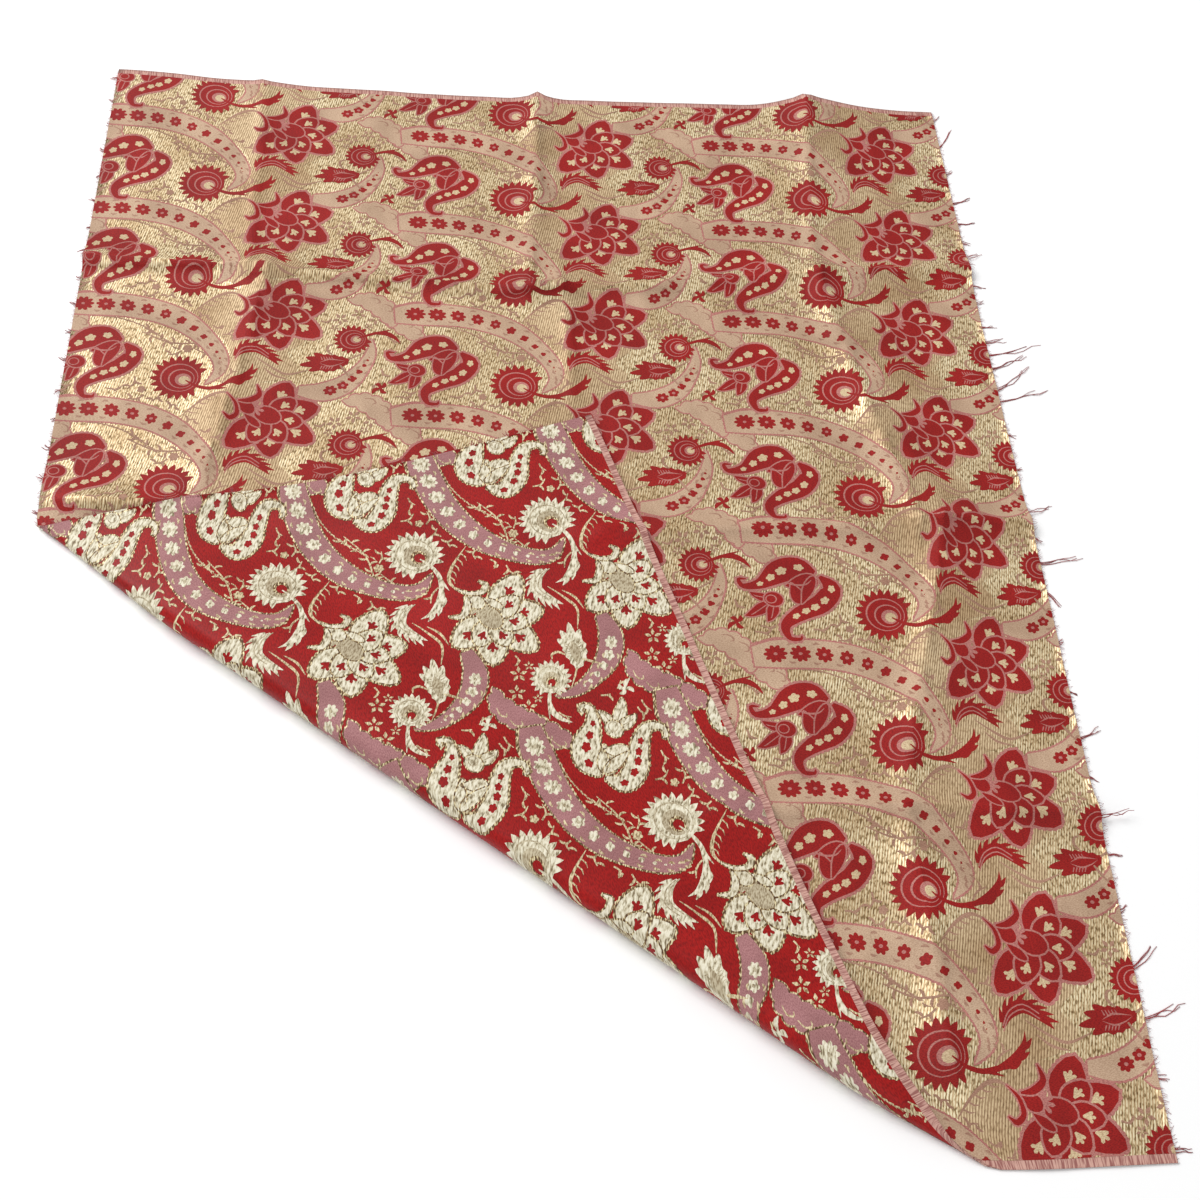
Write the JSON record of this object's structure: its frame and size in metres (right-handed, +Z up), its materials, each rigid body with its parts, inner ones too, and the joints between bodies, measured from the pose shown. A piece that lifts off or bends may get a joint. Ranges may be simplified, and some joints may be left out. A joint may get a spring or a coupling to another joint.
{
  "type": "brocade panel",
  "caption": "Cut length of two-sided figured brocade, gold side up, laid flat with one corner turned over in a soft fold and its raw edges frayed.",
  "frame": {"origin": "centre of the laid cloth's bounding box, on the surface that it lies on", "axes": "+X along the warp, from the left cut edge to the right one; +Y along the weft, towards the far selvedge; +Z up"},
  "size_m": [0.6579, 0.7663, 0.0162],
  "materials": {
    "brocade": "woven, with metallic gold weft",
    "loose_warp": "matt thread"
  },
  "bodies": {
    "root": {"brocade_cloth": "brocade", "frayed_warp_right": "loose_warp", "frayed_warp_left": "loose_warp"}
  },
  "joints": []
}
